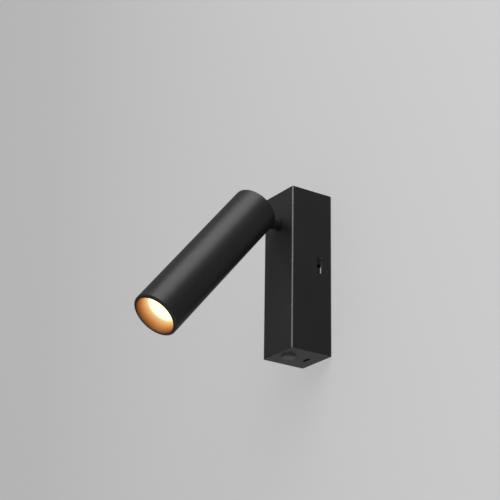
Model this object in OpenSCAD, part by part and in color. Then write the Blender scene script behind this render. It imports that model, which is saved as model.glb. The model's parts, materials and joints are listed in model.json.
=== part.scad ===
// Wall spotlight with a square housing, a short swivel stem and a round tilting head.
// Millimetres, +Z up. The wall is the plane y = 0 and the lamp stands out towards -Y.
// The origin is the middle of the wall bracket's screw slots, on the wall.

/* [Housing] */
// Width and depth of the square housing section
housing_w = 40; // [38:0.5:48]
// Height of the housing with both end caps
housing_h = 141.5; // [138:0.5:170]
// Wall thickness of the extruded housing
housing_wall = 2; // [1.6:0.1:2.6]
// Rounding of the long edges
housing_edge = 1; // [0.3:0.1:1.2]
// Thickness of the end plates
cap_plate = 2; // [1.5:0.1:3]
// Length of the tongues that locate the end plates in the housing
cap_tongue = 5; // [3:0.5:8]
// Height of the boss under the top plate, over the wall bracket
cap_boss = 2.7; // [2.2:0.1:4]
// Thickness of the tongues and of the guide ribs
rib_t = 1.3; // [1:0.1:2]
// Height of the guide ribs that hold the stem plate
rib_h = 1.5; // [1:0.1:2]

/* [Wall bracket] */
// Width of the bracket plate
bracket_w = 28; // [24:0.5:30]
// Room for the bracket's hook, between its plate and the bottom cap
hook_room = 7.8; // [7.5:0.1:10]
// Thickness of the bracket sheet
bracket_t = 1.5; // [1.2:0.1:2]
// Distance of each screw slot from the nearer end of the housing
slot_from_end = 20.75; // [20:0.25:26]
// Width of a screw slot
slot_width = 4.6; // [4:0.1:5.2]
// Overall length of a screw slot
slot_length = 9; // [7:0.5:12]
// Width of the bent ends
ear_w = 16; // [12:0.5:20]
// Length of the upper bent end
ear_l = 14; // [11:0.5:18]
// Size of the locking screw's thread
lock_d = 3; // [2.5:0.5:4]
// Length of the locking screw
lock_l = 9; // [8:0.5:12]
// Distance of the locking screw from the wall
lock_y = 8; // [7:0.5:9]
// Bore of the cable bush
cable_d = 8; // [6:0.5:9]
// Distance of the cable bush below the middle of the terminal block
cable_drop = 24; // [22:0.5:28]
// Sideways place of the cable bush
cable_x = -5; // [-6:0.5:-4]

/* [Stem] */
// Diameter of the stem
stem_d = 10; // [8:0.5:12]
// Depth of the stem axis below the top of the housing
stem_drop = 28.6; // [27:0.1:32]
// Distance from the housing's front face to the tilt axis
stem_reach = 30.4; // [29:0.1:40]
// Journal diameter inside the housing
journal_d = 8; // [7:0.5:8]
// Length of the journal behind the front wall
journal_l = 13; // [12.5:0.5:15]
// Bore for the lead
stem_bore = 4.4; // [4:0.1:4.6]
// Thickness of the flattened end that carries the tilt pin
tongue_t = 7; // [6:0.1:7.4]
// Thickness of the plate that holds the stem bush
plate_t = 4; // [3:0.1:5]
// Height of the stem plate
plate_h = 30; // [28:0.5:31]
// Flange diameter of the stem bush
bush_flange_d = 15; // [14:0.5:17]
// Flange thickness of the stem bush
bush_flange_t = 1.2; // [1:0.1:1.6]
// Wall of the stem bush
bush_wall = 1.5; // [1:0.1:2]
// Outer diameter of the friction washer and spring washer
washer_d = 16; // [15:0.5:17]
// Thickness of the friction washer
washer_t = 1; // [0.8:0.1:1.4]
// Height of the spring washer under load
spring_h = 1.3; // [1.1:0.1:1.5]
// Thickness of the stop washer
stop_t = 1.2; // [1:0.1:1.6]
// Radius at which the stop pin stands
stop_r = 10.5; // [10:0.1:11]
// Diameter of the stop pin
stop_pin_d = 2; // [1.6:0.1:2.5]
// Width of the stop washer's tab
stop_tab_w = 2.4; // [2:0.1:3]
// Thickness of the stem nut
stem_nut_t = 4; // [3.5:0.1:4.5]
// Width across flats of the stem nut
stem_nut_af = 13; // [12.5:0.5:14]

/* [Head] */
// Outer diameter of the head tube
head_d = 40; // [38:0.5:44]
// Length of the head tube
head_l = 146; // [130:1:170]
// Wall of the head tube
head_wall = 1.5; // [1.2:0.1:2]
// Width of the lip inside the tube's front end
lip_w = 1; // [0.6:0.1:1.5]
// Thickness of that lip
lip_t = 1.2; // [1:0.1:2]
// Width of the bevel round the tube's front end
bevel_w = 2; // [1:0.1:2.2]
// Height of that bevel along the tube
bevel_h = 1.3; // [0.6:0.1:2]
// Distance from the rear end of the tube to the tilt axis
pivot_back = 9.7; // [9:0.1:12]
// Angle between the head and the wall in the stored pose
head_tilt = 39.1; // [0:0.1:90]
// Thickness of the rear cap
rear_cap_t = 2.5; // [2:0.1:3]
// Length of the hinge block in front of the tilt axis
block_front = 14; // [13:0.5:18]
// Depth of the hinge block's pocket in front of the tilt axis
pocket_front = 10; // [8:0.5:11]
// Depth of the flats under the hinge screw and nut, from the block's outside
block_flat = 5.45; // [5:0.05:6]
// Diameter of the hinge screw
hinge_d = 4; // [3:0.5:4.5]
// Size of the rear cap screws
cap_screw_d = 3; // [2.5:0.5:3]
// Length of the rear cap screws
cap_screw_l = 9; // [8:0.5:9]
// Distance of the rear cap screws from the cap's edge
cap_screw_edge = 4.15; // [4:0.05:4.6]
// Angle of the rear cap screws from the hinge screw's direction
cap_screw_angle = 36.5; // [34:0.5:38]
// Diameter of the lead
lead_d = 3.4; // [3:0.1:3.8]

/* [Light] */
// Depth of the baffle's inner edge
baffle_depth = 9.5; // [6:0.1:14]
// Wall of the baffle
baffle_wall = 1.1; // [0.8:0.1:1.5]
// Gap round the lens flange, to the tube
lens_margin = 3; // [2.9:0.1:4]
// Thickness of the lens flange
lens_flange_t = 1.5; // [1.2:0.1:2]
// Width of the lens flange under the baffle's inner edge
lens_cover = 1.5; // [1:0.1:2]
// Height of the whole lens
lens_h = 11; // [10:0.5:14]
// Diameter of the lens at the light source
lens_foot_d = 10; // [9.5:0.5:11]
// Wall of the lens holder
holder_wall = 1.5; // [1:0.1:1.6]
// Width of the ledge that carries the lens
holder_ledge = 1.2; // [1:0.1:1.4]
// Gap round the circular circuit board, to the tube
board_margin = 2.5; // [2:0.1:3]
// Thickness of the circuit boards
board_t = 1.6; // [1:0.1:2]
// Side of the square light source
chip_w = 5; // [4:0.1:5.2]
// Height of the light source
chip_t = 1; // [0.6:0.1:1.4]
// Length of the heat sink
sink_l = 42; // [30:1:50]
// Thickness of the heat sink's solid end
sink_base = 6; // [5:0.5:8]
// Core diameter of the heat sink
sink_core_d = 16; // [14:0.5:18]
// Number of cooling fins
fin_count = 16; // [10:2:20]
// Thickness of a fin
fin_t = 1.4; // [1:0.1:1.8]
// Size of the screws that hold the circular board
board_screw_d = 2; // [1.6:0.1:2.5]
// Length of these screws inside the heat sink
board_screw_grip = 4; // [3:0.5:4]

/* [Rocker switch] */
// Distance from the front face to the middle of the rocker switch
switch_from_front = 27.2; // [25:0.1:28]
// Depth of the switch's middle below the top of the housing
switch_drop = 64.7; // [60:0.1:70]
// Width of the opening in the housing
switch_w = 4.6; // [4.4:0.1:6]
// Height of the opening in the housing
switch_h = 15.8; // [15:0.1:18]
// Width of the slanted rim around the rocker
rim_w = 0.4; // [0.3:0.1:0.8]
// Angle of the rocker either side of its middle
rocker_tilt = 9; // [6:0.5:10]
// Depth of the rocker's pin below the housing's side
rocker_pin_depth = 3.6; // [3.2:0.1:4]
// Rounding of the rocker's two ends
rocker_round = 0.6; // [0.3:0.1:1]
// Depth of the switch body inside the housing wall
switch_depth = 9; // [8:0.5:10]

/* [Push button and socket] */
// Diameter of the push button
button_d = 12; // [11:0.1:13.5]
// Gap round the push button in the bottom plate
button_gap = 0.3; // [0.3:0.05:0.6]
// Height of the button below the bottom plate
button_out = 1.7; // [1.5:0.1:2.5]
// Travel of the button
button_travel = 1; // [0.6:0.1:1.2]
// Distance from the front face to the button's middle
button_from_front = 11.3; // [11:0.1:14]
// Distance from the front face to the socket's middle
socket_from_front = 29; // [27:0.1:30]
// Sideways place of the socket
socket_x = 0; // [-3:0.1:3]
// Width of the socket shell
socket_w = 8.94; // [8.9:0.02:9]
// Thickness of the socket shell
socket_t = 3.26; // [3.2:0.02:3.3]
// Wall of the socket shell
socket_wall = 0.3; // [0.25:0.05:0.4]
// Height of the upright socket
socket_l = 9.3; // [8.8:0.1:10.5]
// Depth of the socket's mouth in the bottom plate
socket_inset = 0.4; // [0.2:0.1:0.6]

/* [Inside the housing] */
// Width of the driver
driver_w = 30; // [26:0.5:30]
// Thickness of the driver
driver_t = 19; // [16:0.5:19]
// Depth of the driver's upper end below the top of the housing
driver_drop = 46.75; // [46:0.25:52]
// Height of the driver's lower end above the bottom of the housing
driver_rise = 24.75; // [24:0.25:40]
// Thickness of the driver's adhesive pad
pad_t = 1; // [0.5:0.1:1.5]
// Width of one pole of the terminal block
pole_w = 8; // [7:0.1:8.2]
// Height of the terminal block
terminal_h = 18; // [16:0.5:18]
// Depth of the terminal block
terminal_t = 12; // [10:0.5:12]
// Bore for a wire and for its screw
terminal_bore = 4; // [3:0.1:4]
// Depth of the terminal block's middle below the top of the housing
terminal_drop = 41.75; // [40:0.25:44]
// Distance of the earth screw below the cable bush
earth_drop = 19; // [18:0.5:24]
// Diameter of the earth screw
earth_d = 4; // [3:0.5:4]
// Size of the screws that hold the control board
post_screw_d = 2; // [1.6:0.1:2.5]
// Length of these screws
post_screw_l = 5; // [4:0.5:6]
// Distance of the board's posts from the housing's inner faces
post_inset = 4.5; // [4.2:0.1:5]

/* [Fits] */
// Gap round pieces that are seated in a bore or against a wall
seat_gap = 0.05; // [0.03:0.01:0.1]
// Gap of shafts and faces that turn on each other
run_gap = 0.05; // [0.03:0.01:0.08]
// Gap round pieces that move freely through an opening
free_gap = 0.4; // [0.3:0.05:0.6]

/* [Hidden] */
$fn = 72;
eps = 0.01;

// Planes of the housing
housing_top = housing_h / 2;
cap_in = housing_top - cap_plate;
front_y = -housing_w;
front_in = front_y + housing_wall;
rear_in = -housing_wall;
inner_w = housing_w - 2 * housing_wall;
mid_y = -housing_w / 2;

// Planes of the wall bracket, whose upper end lies under the boss of the top cap
bracket_top = cap_in - cap_boss;
bracket_bottom = -cap_in + hook_room;
slot_spacing = housing_h - 2 * slot_from_end;
hook_gap = 0.2;
hook_rise = 3;
hook_end = cap_in - 0.4;
window_gap = 0.3;
window_low = bracket_bottom - 2 * hook_rise + 0.8;
tongue_w = 22;
bush_flange = 1.75;
bush_lip_t = 1.2;

// Stem and tilt axis
stem_z = housing_top - stem_drop;
pivot_y = front_y - stem_reach;
slot_w = stem_d + 2 * free_gap;
flat_l = stem_d * 0.8;
eye_d = stem_d + free_gap;
stem_rear = front_in + journal_l;
bush_bore = journal_d + 2 * run_gap;
bush_body_d = bush_bore + 2 * bush_wall;
plate_rear = front_in + plate_t;
washer_y = plate_rear + run_gap;
spring_y = washer_y + washer_t + seat_gap;
stop_y = spring_y + spring_h + seat_gap;
nut_y = stop_y + stop_t + seat_gap;
key_flat = journal_d / 2 - 0.6;

// Head, in its own axes: the tilt axis is the origin, +Z runs to the rear end and
// +Y is the side that faces the wall when the head hangs straight down
head_rear = pivot_back;
head_front = pivot_back - head_l;
head_bore = head_d - 2 * head_wall;
mouth_d = head_bore - 2 * lip_w;
seat_d = head_bore - 2 * seat_gap;
edge_cut = 0.4;
block_rear = head_rear - rear_cap_t;
block_half = seat_d / 2 - block_flat;
cap_screw_r = seat_d / 2 - cap_screw_edge;
disc_t = (slot_w - tongue_t) / 2 - 2 * run_gap;
hinge_bore = hinge_d + 2 * run_gap;
lens_d = head_bore - 2 * lens_margin;
lens_view_d = lens_d - 2 * lens_cover;
lens_front = head_front + baffle_depth + baffle_wall + seat_gap;
lens_foot = lens_front + lens_h;
board_d = head_bore - 2 * board_margin;
board_front = lens_foot + 0.5;
sink_front = board_front + board_t;
board_screw_r = lens_d / 2 - holder_ledge - 0.95 * board_screw_d - 0.3;
recess_d = chip_w * sqrt(2) + 0.6;
recess_h = 2.5;

// Rocker switch
side_x = housing_w / 2;
side_in = side_x - housing_wall;
switch_y = front_y + switch_from_front;
switch_z = housing_top - switch_drop;
rocker_w = switch_w - 2 * rim_w - 0.5;
rocker_half = switch_h / 2 - rim_w - 0.9;
rocker_waist = rocker_pin_depth - rocker_half * tan(rocker_tilt);
rocker_back = 2;
rocker_back_half = rocker_half - 1.3;
rocker_end_r = norm([rocker_half, rocker_pin_depth]);
rocker_end_angle = atan2(rocker_pin_depth, rocker_half);
well_half = rocker_end_r * cos(rocker_end_angle - rocker_tilt) + 0.3;
rocker_pin_d = 1.6;
rocker_pin_l = switch_w - 0.2;
switch_lip = 1.8;

// Push button, socket and their board
button_y = front_y + button_from_front;
button_hole = button_d + 2 * button_gap;
button_flange_t = 1.2;
board_low = -housing_top + socket_inset + socket_l;
tact_w = 6;
tact_h = 4;
plunger_d = 3;
socket_y = front_y + socket_from_front;
post_d = 5;
post_x = inner_w / 2 - post_inset;
post_front = front_in + post_inset;
post_rear = rear_in - hook_gap - bracket_t - free_gap - post_inset;

// Inside
driver_front = front_in + pad_t;
driver_top = housing_top - driver_drop;
driver_low = -housing_top + driver_rise;
pole_count = 3;
terminal_rear = -bracket_t;
terminal_z = housing_top - terminal_drop;
cable_z = terminal_z - cable_drop;
earth_z = cable_z - earth_drop;

// Shared shapes

module rounded_square(w, r) {
    square([w - 2 * r, w], center = true);
    square([w, w - 2 * r], center = true);
    for (sx = [-1, 1], sy = [-1, 1])
        translate([sx * (w / 2 - r), sy * (w / 2 - r)]) circle(r);
}

module slot_shape(length, width) {
    square([length - width, width], center = true);
    for (s = [-1, 1])
        translate([s * (length - width) / 2, 0]) circle(d = width);
}

module ring(outer_d, inner_d, t) {
    difference() {
        cylinder(d = outer_d, h = t);
        translate([0, 0, -1]) cylinder(d = inner_d, h = t + 2);
    }
}

// A box given by its lower and upper corners
module block(low, high) {
    translate(low) cube(high - low);
}

module hex_nut(af, bore_d, t) {
    difference() {
        cylinder(d = af / cos(30), h = t, $fn = 6);
        translate([0, 0, -1]) cylinder(d = bore_d, h = t + 2);
    }
}

// A countersunk screw whose head's face is z = 0 and whose shank runs towards -Z
module flat_screw(d, l) {
    head_d = 2 * d;
    difference() {
        union() {
            translate([0, 0, -l]) cylinder(d = d, h = l);
            translate([0, 0, -d / 2]) cylinder(d1 = d, d2 = head_d, h = d / 2);
        }
        translate([0, 0, -0.4 * d]) cylinder(d = 0.7 * d, h = d, $fn = 6);
    }
}

// The hole that takes such a screw
module flat_screw_hole(d, l, gap) {
    translate([0, 0, -l]) cylinder(d = d + 2 * gap, h = l + 1);
    translate([0, 0, -d / 2 - gap]) cylinder(d1 = d, d2 = 2 * d + 2 * gap, h = d / 2 + gap);
    translate([0, 0, -eps]) cylinder(d = 2 * d + 2 * gap, h = 1);
}

// A pan head screw whose head sits on z = 0 and whose shank runs towards -Z
module pan_screw(d, l) {
    difference() {
        union() {
            translate([0, 0, -l]) cylinder(d = d, h = l + eps);
            cylinder(d = 1.9 * d, h = 0.6 * d);
        }
        translate([0, 0, 0.3 * d])
            for (a = [0, 90]) rotate(a) translate([-0.6 * d, -0.12 * d, 0]) cube([1.2 * d, 0.24 * d, d]);
    }
}

// Puts what is drawn along +Z on the stem's axis, starting at y and running to the wall
module along_stem(y) {
    translate([0, y, stem_z]) rotate([-90, 0, 0]) children();
}

// Puts what is drawn in the head's own axes in its stored pose
module in_head() {
    translate([0, pivot_y, stem_z]) rotate([-head_tilt, 0, 0]) children();
}

// A quarter bend of round lead: starts at the origin along +Y and ends along -Z
module bend_down(r, d) {
    translate([0, 0, -r]) rotate([90, 0, 90]) rotate_extrude(angle = 90)
        translate([r, 0]) circle(d = d, $fn = 24);
}

// A quarter bend of round lead: starts at the origin along -Z and ends along -Y
module bend_forward(r, d) {
    translate([0, -r, 0]) rotate([90, 0, 90]) rotate_extrude(angle = -90)
        translate([r, 0]) circle(d = d, $fn = 24);
}

// Housing

module housing_shell() {
    color([0.13, 0.13, 0.13])
    difference() {
        translate([0, mid_y, -cap_in]) linear_extrude(2 * cap_in) difference() {
            rounded_square(housing_w, housing_edge);
            difference() {
                square(inner_w, center = true);
                for (s = [-1, 1])
                    translate([s * inner_w / 2 - rib_h, plate_rear + seat_gap - mid_y])
                        square([2 * rib_h, rib_t]);
            }
        }
        along_stem(front_y - 1) cylinder(d = stem_d + 2 * free_gap, h = housing_wall + 2);
        block([side_in - 1, switch_y - switch_w / 2, switch_z - switch_h / 2],
              [side_x + 1, switch_y + switch_w / 2, switch_z + switch_h / 2]);
        block([-bracket_w / 2 - window_gap, rear_in - 1, window_low],
              [bracket_w / 2 + window_gap, 1, bracket_top + window_gap]);
    }
}

// An end plate with three tongues, drawn as the top one
module end_plate() {
    tongue_out = inner_w / 2 - seat_gap;
    translate([0, mid_y, cap_in]) {
        linear_extrude(cap_plate) rounded_square(housing_w, housing_edge);
        translate([-tongue_w / 2, -tongue_out, -cap_tongue]) cube([tongue_w, rib_t, cap_tongue + eps]);
        for (s = [-1, 1])
            translate([s * (tongue_out - rib_t / 2) - rib_t / 2, -tongue_w / 2 + 2, -cap_tongue])
                cube([rib_t, tongue_w, cap_tongue + eps]);
    }
}

module top_cap() {
    boss_d = 3 * lock_d;
    color([0.13, 0.13, 0.13])
    difference() {
        union() {
            end_plate();
            translate([0, -lock_y, bracket_top + seat_gap])
                cylinder(d = boss_d, h = cap_in - bracket_top - seat_gap + eps);
        }
        translate([0, -lock_y, housing_top]) flat_screw_hole(lock_d, lock_l, 0.1);
    }
}

module bottom_cap() {
    color([0.13, 0.13, 0.13])
    difference() {
        union() {
            mirror([0, 0, 1]) end_plate();
            for (s = [-1, 1], y = [post_front, post_rear])
                translate([s * post_x, y, -cap_in - eps]) cylinder(d = post_d, h = board_low + cap_in + eps);
        }
        translate([0, button_y, -housing_top - 1]) cylinder(d = button_hole, h = cap_plate + 2);
        translate([socket_x, socket_y, -housing_top - 1])
            linear_extrude(cap_plate + 2)
            slot_shape(socket_w + 2 * seat_gap, socket_t + 2 * seat_gap);
        for (s = [-1, 1], y = [post_front, post_rear])
            translate([s * post_x, y, board_low - post_screw_l]) cylinder(d = post_screw_d, h = post_screw_l + 1);
    }
}

module wall_bracket() {
    color("silver")
    difference() {
        union() {
            block([-bracket_w / 2, -bracket_t, bracket_bottom], [bracket_w / 2, 0, bracket_top]);
            block([-ear_w / 2, -ear_l, bracket_top - bracket_t], [ear_w / 2, -bracket_t + eps, bracket_top]);
            translate([-ear_w / 2, 0, 0]) rotate([90, 0, 90]) linear_extrude(ear_w) hook_profile();
        }
        for (s = [-1, 1])
            translate([0, 1, s * slot_spacing / 2]) rotate([90, 90, 0])
                linear_extrude(bracket_t + 2) slot_shape(slot_length, slot_width);
        translate([cable_x, 1, cable_z]) rotate([90, 0, 0])
            cylinder(d = cable_d + 4 + 2 * seat_gap, h = bracket_t + 2);
        translate([0, -lock_y, bracket_top - bracket_t - 1])
            cylinder(d = lock_d + 2 * seat_gap, h = bracket_t + 2);
        translate([0, 1, earth_z]) rotate([90, 0, 0])
            cylinder(d = earth_d + 2 * seat_gap, h = bracket_t + 2);
    }
}

// The lower end steps in behind the housing's rear wall, drawn in y and z
module hook_profile() {
    step = housing_wall + hook_gap;
    polygon([
        [0, bracket_bottom + 1],
        [0, bracket_bottom],
        [-step, bracket_bottom - hook_rise],
        [-step, -hook_end],
        [-step - bracket_t, -hook_end],
        [-step - bracket_t, bracket_bottom - hook_rise + 0.5],
        [-bracket_t, bracket_bottom + 0.5],
        [-bracket_t, bracket_bottom + 1]
    ]);
}

module lock_screw() {
    color("dimgray")
    translate([0, -lock_y, housing_top]) flat_screw(lock_d, lock_l);
}

module cable_bush() {
    body_d = cable_d + 4;
    color([0.08, 0.08, 0.08])
    translate([cable_x, -bracket_t - bush_lip_t - seat_gap, cable_z]) rotate([-90, 0, 0])
        difference() {
            union() {
                cylinder(d = body_d + 2 * bush_flange, h = bush_lip_t);
                cylinder(d = body_d, h = bush_lip_t + bracket_t);
            }
            translate([0, 0, -1]) cylinder(d = cable_d, h = bracket_t + bush_lip_t + 3);
        }
}

// Swivel joint

module stem_plate() {
    half = inner_w / 2 - seat_gap;
    color("silver")
    difference() {
        block([-half, front_in, stem_z - plate_h / 2], [half, plate_rear, stem_z + plate_h / 2]);
        along_stem(front_in - 1) cylinder(d = bush_body_d + 2 * seat_gap, h = plate_t + 2);
        along_stem(front_in - 1) cylinder(d = bush_flange_d + 2 * seat_gap, h = 1 + bush_flange_t);
        translate([0, 0, stop_r]) along_stem(plate_rear - 2) cylinder(d = stop_pin_d + 2 * seat_gap, h = 3);
    }
}

module stem_bush() {
    color([0.85, 0.83, 0.78])
    along_stem(front_in + seat_gap) difference() {
        union() {
            cylinder(d = bush_flange_d, h = bush_flange_t - 2 * seat_gap);
            cylinder(d = bush_body_d, h = plate_t - 2 * seat_gap);
        }
        translate([0, 0, -1]) cylinder(d = bush_bore, h = plate_t + 2);
    }
}

module stop_pin() {
    color("silver")
    translate([0, 0, stop_r]) along_stem(plate_rear - 2 + seat_gap)
        cylinder(d = stop_pin_d, h = stop_y + stop_t - plate_rear + 2);
}

module swivel_stem() {
    bar_l = front_in - run_gap - pivot_y;
    lead_turn_y = pivot_y + stem_d;
    color([0.12, 0.12, 0.12])
    difference() {
        union() {
            intersection() {
                along_stem(pivot_y - stem_d) cylinder(d = stem_d, h = bar_l + stem_d);
                union() {
                    translate([-stem_d, pivot_y, stem_z - stem_d]) cube([2 * stem_d, bar_l, 2 * stem_d]);
                    translate([-stem_d, pivot_y, stem_z]) rotate([0, 90, 0]) cylinder(d = eye_d, h = 2 * stem_d);
                }
            }
            along_stem(front_in - 1) cylinder(d = journal_d, h = journal_l + 1);
        }
        for (s = [0, 1]) mirror([s, 0, 0])
            translate([tongue_t / 2, pivot_y - stem_d, stem_z - stem_d])
                cube([stem_d, stem_d + flat_l, 2 * stem_d]);
        translate([-stem_d, pivot_y, stem_z]) rotate([0, 90, 0]) cylinder(d = hinge_bore, h = 2 * stem_d);
        along_stem(lead_turn_y) cylinder(d = stem_bore, h = stem_rear - lead_turn_y + 1);
        translate([0, lead_turn_y + 1, stem_z]) rotate([135, 0, 0]) cylinder(d = stem_bore - 0.4, h = stem_d);
        translate([key_flat, stop_y - 0.5, stem_z - stem_d]) cube([stem_d, journal_l, 2 * stem_d]);
    }
}

module friction_washer() {
    color([0.85, 0.83, 0.78])
    along_stem(washer_y) ring(washer_d, journal_d + 2 * seat_gap, washer_t);
}

// A dished washer, pressed nearly flat by the nut
module spring_washer() {
    inner_r = journal_d / 2 + 2 * seat_gap;
    sheet = 0.7;
    rise = spring_h - sheet;
    color("lightgray")
    along_stem(spring_y) rotate_extrude() polygon([
        [inner_r, rise],
        [washer_d / 2 - 0.3, 0],
        [washer_d / 2 - 0.3, sheet],
        [inner_r, rise + sheet]
    ]);
}

module stop_washer() {
    reach = stop_r + stop_pin_d / 2;
    color("silver")
    along_stem(stop_y) difference() {
        union() {
            cylinder(d = washer_d - 2, h = stop_t);
            translate([-stop_tab_w / 2, 0, 0]) cube([stop_tab_w, reach, stop_t]);
        }
        intersection() {
            translate([0, 0, -1]) cylinder(d = journal_d + 2 * seat_gap, h = stop_t + 2);
            translate([key_flat + seat_gap - 2 * journal_d, -journal_d, -1])
                cube([2 * journal_d, 2 * journal_d, stop_t + 2]);
        }
    }
}

module stem_nut() {
    color("silver")
    along_stem(nut_y) hex_nut(stem_nut_af, journal_d + 2 * seat_gap, stem_nut_t);
}

module stem_lead() {
    color([0.7, 0.7, 0.7])
    along_stem(pivot_y + stem_d) cylinder(d = lead_d, h = stem_rear - pivot_y - stem_d + 0.5, $fn = 32);
}

// Inside the housing

module led_driver() {
    cut = 2;
    half_w = driver_w / 2;
    half_t = driver_t / 2;
    color([0.9, 0.9, 0.88])
    translate([0, driver_front + half_t, driver_low]) linear_extrude(driver_top - driver_low)
        intersection() {
            square([driver_w, driver_t], center = true);
            rotate(45) square((half_w + half_t - cut) * sqrt(2), center = true);
        }
}

module driver_pad() {
    color([0.3, 0.3, 0.3])
    block([-driver_w / 2 + 3, front_in, driver_low + 4], [driver_w / 2 - 3, driver_front, driver_top - 4]);
}

// The lead from the driver's upper end to the stem's bore, in three bends
module driver_lead() {
    first_r = 5;
    small_r = 4;
    start_y = stem_rear + 0.6;
    low_z = stem_z - first_r - 2 * small_r;
    color([0.7, 0.7, 0.7]) {
        translate([0, start_y, stem_z]) bend_down(first_r, lead_d);
        translate([0, start_y + first_r, stem_z - first_r]) bend_forward(small_r, lead_d);
        translate([0, start_y + first_r - small_r, stem_z - first_r - small_r])
            mirror([0, 1, 0]) bend_down(small_r, lead_d);
        translate([0, start_y + first_r - 2 * small_r, driver_top]) cylinder(d = lead_d, h = low_z - driver_top, $fn = 24);
    }
}

module terminal_block() {
    half = pole_count * pole_w / 2;
    color([0.92, 0.92, 0.9])
    difference() {
        block([-half, terminal_rear - terminal_t, terminal_z - terminal_h / 2], [half, terminal_rear, terminal_z + terminal_h / 2]);
        for (i = [0 : pole_count - 1])
            translate([(i - (pole_count - 1) / 2) * pole_w, terminal_rear - terminal_t / 2, terminal_z]) {
                translate([0, 0, -terminal_h]) cylinder(d = terminal_bore, h = 2 * terminal_h);
                rotate([90, 0, 0]) cylinder(d = terminal_bore, h = terminal_t);
            }
    }
}

module terminal_screws() {
    screw_d = terminal_bore - 2 * seat_gap;
    color("goldenrod")
    for (i = [0 : pole_count - 1])
        translate([(i - (pole_count - 1) / 2) * pole_w, terminal_rear - terminal_t / 2, terminal_z])
            rotate([90, 0, 0]) difference() {
                cylinder(d = screw_d, h = terminal_t / 2 - 1);
                translate([-screw_d, -screw_d / 10, terminal_t / 2 - 2]) cube([2 * screw_d, screw_d / 5, 2]);
            }
}

module earth_screw() {
    color("goldenrod")
    translate([0, -bracket_t - 0.8 - 2 * seat_gap, earth_z]) rotate([90, 0, 0])
        pan_screw(earth_d, bracket_t + 0.7);
}

module earth_tag() {
    color("goldenrod")
    translate([0, -bracket_t - seat_gap, earth_z]) rotate([90, 0, 0]) difference() {
        union() {
            cylinder(d = 2.2 * earth_d, h = 0.8);
            translate([-1.5, -3 * earth_d, 0]) cube([3, 3 * earth_d, 0.8]);
        }
        translate([0, 0, -1]) cylinder(d = earth_d + 2 * seat_gap, h = 3);
    }
}

// Rocker switch

// The slanted rim: widest at the housing's side, down to the rocker's width
module rim_cut() {
    half_w = switch_w / 2;
    half_h = switch_h / 2;
    reach = 1;
    intersection() {
        translate([0, 0, -switch_h]) linear_extrude(2 * switch_h) polygon([
            [reach, half_w + reach - 0.15], [-rim_w, half_w - rim_w - 0.15],
            [-rim_w, -half_w + rim_w + 0.15], [reach, -half_w - reach + 0.15]
        ]);
        rotate([90, 0, 0]) translate([0, 0, -switch_h]) linear_extrude(2 * switch_h) polygon([
            [reach, half_h + reach - 0.15], [-rim_w, half_h - rim_w - 0.15],
            [-rim_w, -half_h + rim_w + 0.15], [reach, -half_h - reach + 0.15]
        ]);
    }
}

module switch_body() {
    half_w = switch_w / 2 - seat_gap;
    half_h = switch_h / 2 - seat_gap;
    well_w = rocker_w / 2 + 0.2;
    back = side_in - switch_depth;
    well_back = side_x - rocker_pin_depth - rocker_back - rocker_back_half * sin(rocker_tilt) - 0.5;
    color([0.1, 0.1, 0.1])
    translate([0, switch_y, switch_z]) difference() {
        union() {
            block([side_in - 1, -half_w, -half_h], [side_x, half_w, half_h]);
            block([side_in - 1.5, -half_w - switch_lip, -half_h - switch_lip],
                  [side_in - seat_gap, half_w + switch_lip, half_h + switch_lip]);
            block([back, -half_w - 0.8, -half_h], [side_in - 1, half_w + 0.8, half_h]);
        }
        block([well_back, -well_w, -well_half], [side_x + 1, well_w, well_half]);
        translate([side_x, 0, 0]) rim_cut();
        translate([side_x - rocker_pin_depth, switch_w, 0]) rotate([90, 0, 0])
            cylinder(d = rocker_pin_d + 2 * run_gap, h = 2 * switch_w);
    }
}

module switch_terminals() {
    back = side_in - switch_depth;
    color("goldenrod")
    for (s = [-1, 1])
        translate([0, switch_y, switch_z + s * switch_h / 4])
            difference() {
                block([back - 6, -0.4, -2.4], [back, 0.4, 2.4]);
                translate([back - 3.5, 1, 0]) rotate([90, 0, 0]) cylinder(d = 1.6, h = 2);
            }
}

// Points of the rocker's rounded upper end, drawn level about its pin
function rocker_end() =
    let (steps = 6,
         first = -rocker_tilt,
         last = 90 + atan2(rocker_half - rocker_back_half, rocker_pin_depth + rocker_back),
         middle = (first + last) / 2,
         inset = rocker_round / cos((last - first) / 2),
         centre = [rocker_pin_depth, rocker_half] - inset * [cos(middle), sin(middle)])
    [for (i = [0 : steps])
        let (a = first + (last - first) * i / steps)
        centre + rocker_round * [cos(a), sin(a)]];

// Drawn level about its pin, then tilted to the stored pose with its upper half out
module rocker() {
    upper = rocker_end();
    lower = [for (i = [len(upper) - 1 : -1 : 0]) [upper[i].x, -upper[i].y]];
    color([0.1, 0.1, 0.1])
    translate([side_x - rocker_pin_depth, switch_y, switch_z]) rotate([90, rocker_tilt, 0]) {
        translate([0, 0, -rocker_w / 2]) linear_extrude(rocker_w) polygon(concat(
            [[-rocker_back, -rocker_back_half]],
            lower,
            [[rocker_waist, 0]],
            upper,
            [[-rocker_back, rocker_back_half]]
        ));
        translate([0, 0, -rocker_pin_l / 2]) cylinder(d = rocker_pin_d, h = rocker_pin_l);
    }
}

// Push button, socket and their board

module push_button() {
    low = -housing_top - button_out;
    cut = 0.5;
    flange_z = -cap_in + run_gap;
    color([0.16, 0.16, 0.16])
    translate([0, button_y, 0]) {
        rotate_extrude() polygon([
            [0, low],
            [button_d / 2 - cut, low],
            [button_d / 2, low + cut],
            [button_d / 2, flange_z],
            [button_d / 2 + 1.3, flange_z],
            [button_d / 2 + 1.3, flange_z + button_flange_t],
            [plunger_d / 2, flange_z + button_flange_t],
            [plunger_d / 2, board_low - tact_h + 1],
            [0, board_low - tact_h + 1]
        ]);
    }
}

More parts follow.
